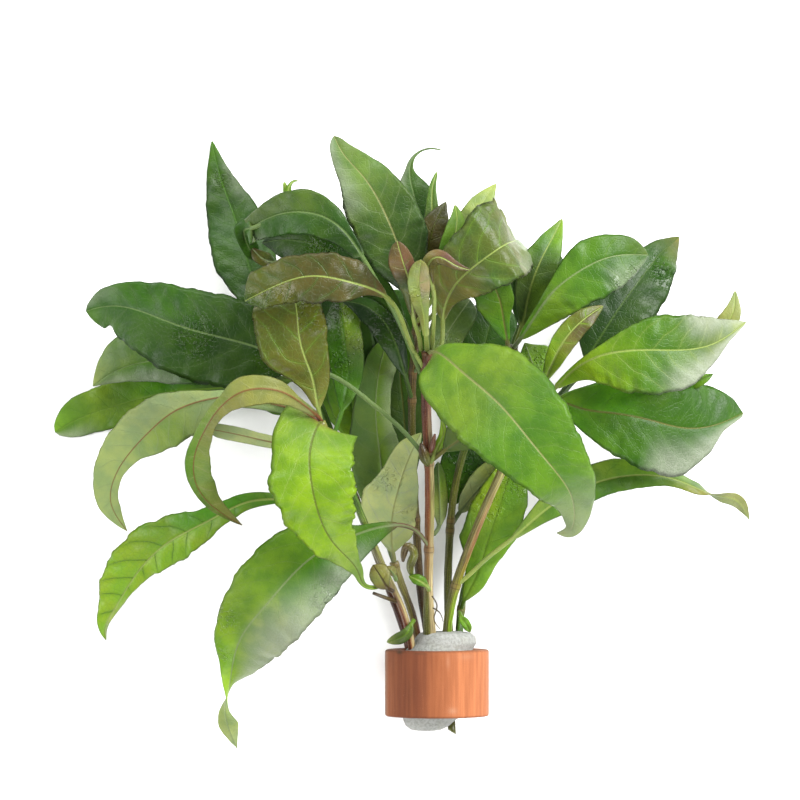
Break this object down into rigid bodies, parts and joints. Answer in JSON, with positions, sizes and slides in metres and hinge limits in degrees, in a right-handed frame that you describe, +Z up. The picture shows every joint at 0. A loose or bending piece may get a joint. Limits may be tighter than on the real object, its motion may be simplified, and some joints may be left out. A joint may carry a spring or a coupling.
{
  "type": "potted aquarium plant",
  "caption": "Leafy hygrophila stems with broad green and reddish leaves, held by a foam plug in a short terracotta ring and lying on a flat surface.",
  "frame": {"origin": "bottom centre of the bounding box, on the surface that the bunch lies on", "axes": "+Z up from the surface, towards the camera of the picture; +Y from the ring's foot to the leaf tips, which is up in the picture; +X right in the picture"},
  "size_m": [0.2368, 0.206, 0.0824],
  "materials": {
    "leaf_dark": "satin",
    "leaf_green": "satin",
    "leaf_lime": "satin",
    "leaf_pale": "satin",
    "leaf_red": "satin",
    "leaf_grey": "satin",
    "leaf_yellow": "satin",
    "stem": "satin",
    "terracotta": "matte",
    "foam": "matte"
  },
  "bodies": {
    "root": {"leaf_front": "leaf_green", "leaf_lime": "leaf_lime", "leaf_low_left": "leaf_green", "leaf_far_left": "leaf_green", "leaf_arching_left": "leaf_pale", "leaf_pale_left": "leaf_pale", "leaf_left_floor": "leaf_dark", "leaf_left_under": "leaf_dark", "leaf_big_left": "leaf_dark", "leaf_red_left": "leaf_red", "leaf_red_hanging": "leaf_red", "leaf_patterned": "leaf_red", "leaf_shoot_left": "leaf_red", "leaf_shoot_centre": "leaf_pale", "leaf_shoot_right": "leaf_red", "leaf_top": "leaf_dark", "leaf_dark_arch": "leaf_dark", "leaf_dark_below_arch": "leaf_dark", "leaf_top_left": "leaf_dark", "leaf_lime_tip": "leaf_lime", "leaf_top_behind": "leaf_dark", "leaf_lime_small": "leaf_lime", "leaf_lime_top": "leaf_lime", "leaf_dark_centre": "leaf_dark", "leaf_lime_centre": "leaf_lime", "leaf_round": "leaf_green", "leaf_tall_right": "leaf_dark", "leaf_lime_right_top": "leaf_lime", "leaf_dark_right_top": "leaf_dark", "leaf_small_right": "leaf_green", "leaf_curled_yellow": "leaf_yellow", "leaf_grey_underside": "leaf_grey", "leaf_light_right": "leaf_green", "leaf_lime_right_tip": "leaf_lime", "leaf_dark_right": "leaf_dark", "leaf_twisted_right": "leaf_green", "leaf_stem_right": "leaf_green", "leaf_pale_underside": "leaf_grey", "leaf_dark_wet": "leaf_dark", "leaf_underside_centre": "leaf_grey", "leaf_long_centre": "leaf_dark", "leaf_wet_left": "leaf_dark", "leaf_dark_left_centre": "leaf_dark", "leaf_wet_top": "leaf_dark", "leaf_grey_centre": "leaf_grey", "leaf_behind_front": "leaf_green", "leaf_small_left": "leaf_green", "leaf_back_centre": "leaf_dark", "leaf_back_right": "leaf_dark", "leaf_back_left": "leaf_dark", "stem_main": "stem", "stem_left_shoot": "stem", "stem_left_inner": "stem", "stem_left_rear": "stem", "stem_centre_rear": "stem", "stem_right_shoot": "stem", "stem_right_rear": "stem", "stem_right_low": "stem", "ring": "terracotta", "foam_plug": "foam"}
  },
  "joints": []
}
